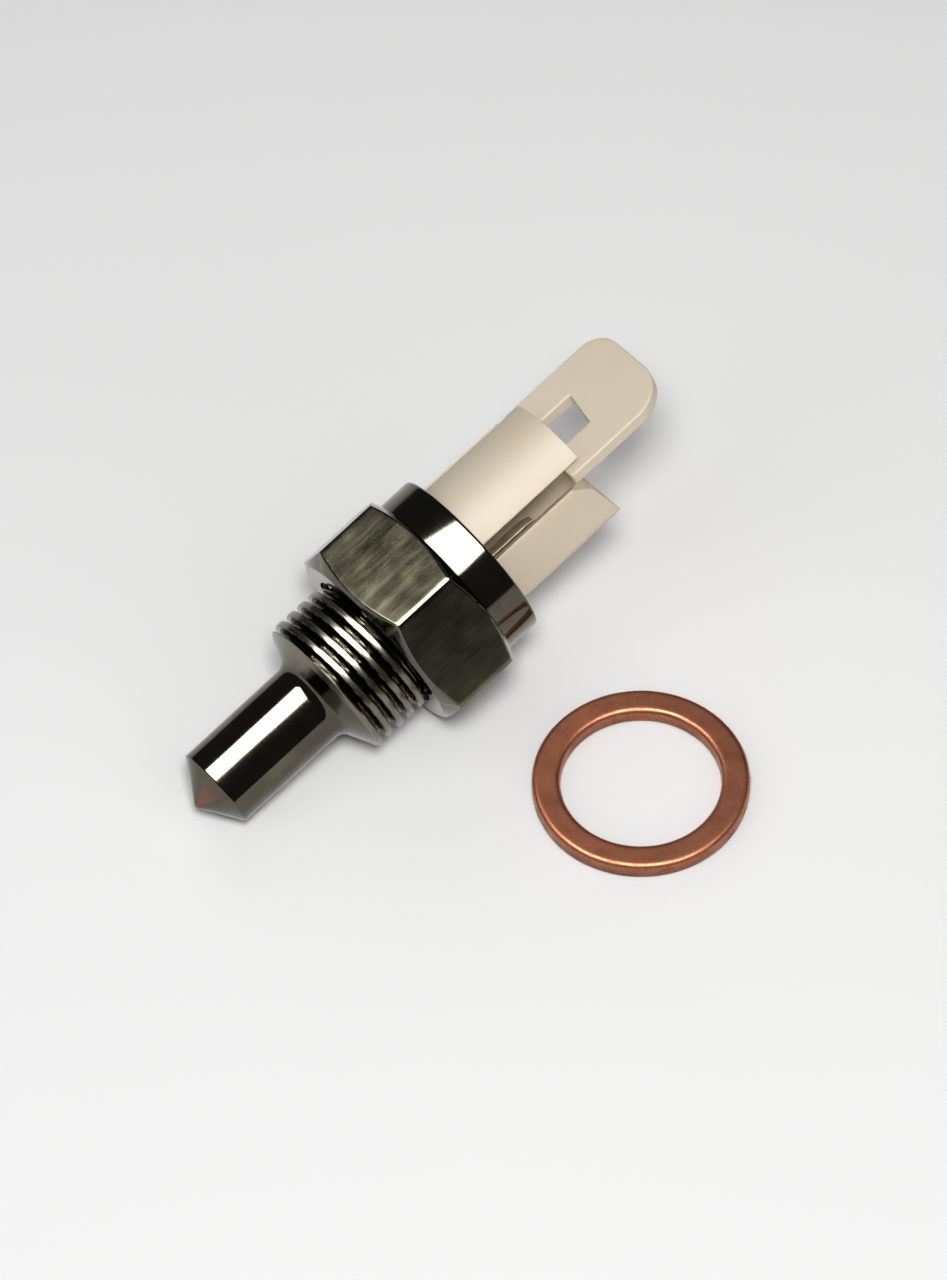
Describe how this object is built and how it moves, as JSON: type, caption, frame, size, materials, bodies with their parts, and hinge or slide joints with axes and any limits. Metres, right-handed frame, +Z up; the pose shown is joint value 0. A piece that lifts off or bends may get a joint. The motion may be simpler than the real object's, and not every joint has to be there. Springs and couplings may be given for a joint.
{
  "type": "immersion temperature probe",
  "caption": "Screw-in immersion temperature probe for a boiler: pointed plated pocket, hexagon, collar and two-pin plastic connector with latch tongue, and a loose copper washer.",
  "frame": {"origin": "centre of the bounding box at table height: the probe rests on its nose and one hexagon flat, the washer lies flat beside it", "axes": "+X along the table from the probe's nose towards its connector, +Z up"},
  "size_m": [0.0368, 0.0302, 0.016],
  "materials": {
    "plated_brass": "bright dark nickel plate with turned and brushed marks",
    "seal_rubber": "matt",
    "ivory_plastic": "satin moulded",
    "tinned_brass": "tinned",
    "crimp_metal": "plain",
    "lead_wire": "drawn wire",
    "lead_insulation": "matt",
    "liner_film": "amber film",
    "chip_ceramic": "fired",
    "bead_resin": "glossy resin",
    "heat_paste": "paste",
    "potting_resin": "cast resin",
    "copper": "stamped copper, dull with bright edges"
  },
  "bodies": {
    "probe": {"pocket_body": "plated_brass", "base_seal": "seal_rubber", "connector_housing": "ivory_plastic", "terminal_left": "tinned_brass", "terminal_right": "tinned_brass", "crimp_left": "crimp_metal", "crimp_right": "crimp_metal", "lead_left": "lead_wire", "lead_right": "lead_wire", "sleeve_left": "lead_insulation", "sleeve_right": "lead_insulation", "liner_tube": "liner_film", "ntc_chip": "chip_ceramic", "thermistor_bead": "bead_resin", "thermal_fill": "heat_paste", "potting": "potting_resin"},
    "washer": {"sealing_washer": "copper"}
  },
  "joints": [
    {"name": "washer_lift", "type": "slide", "parent": "probe", "child": "washer", "axis": [0, 0, 1], "range_m": [0, 0.02]}
  ]
}
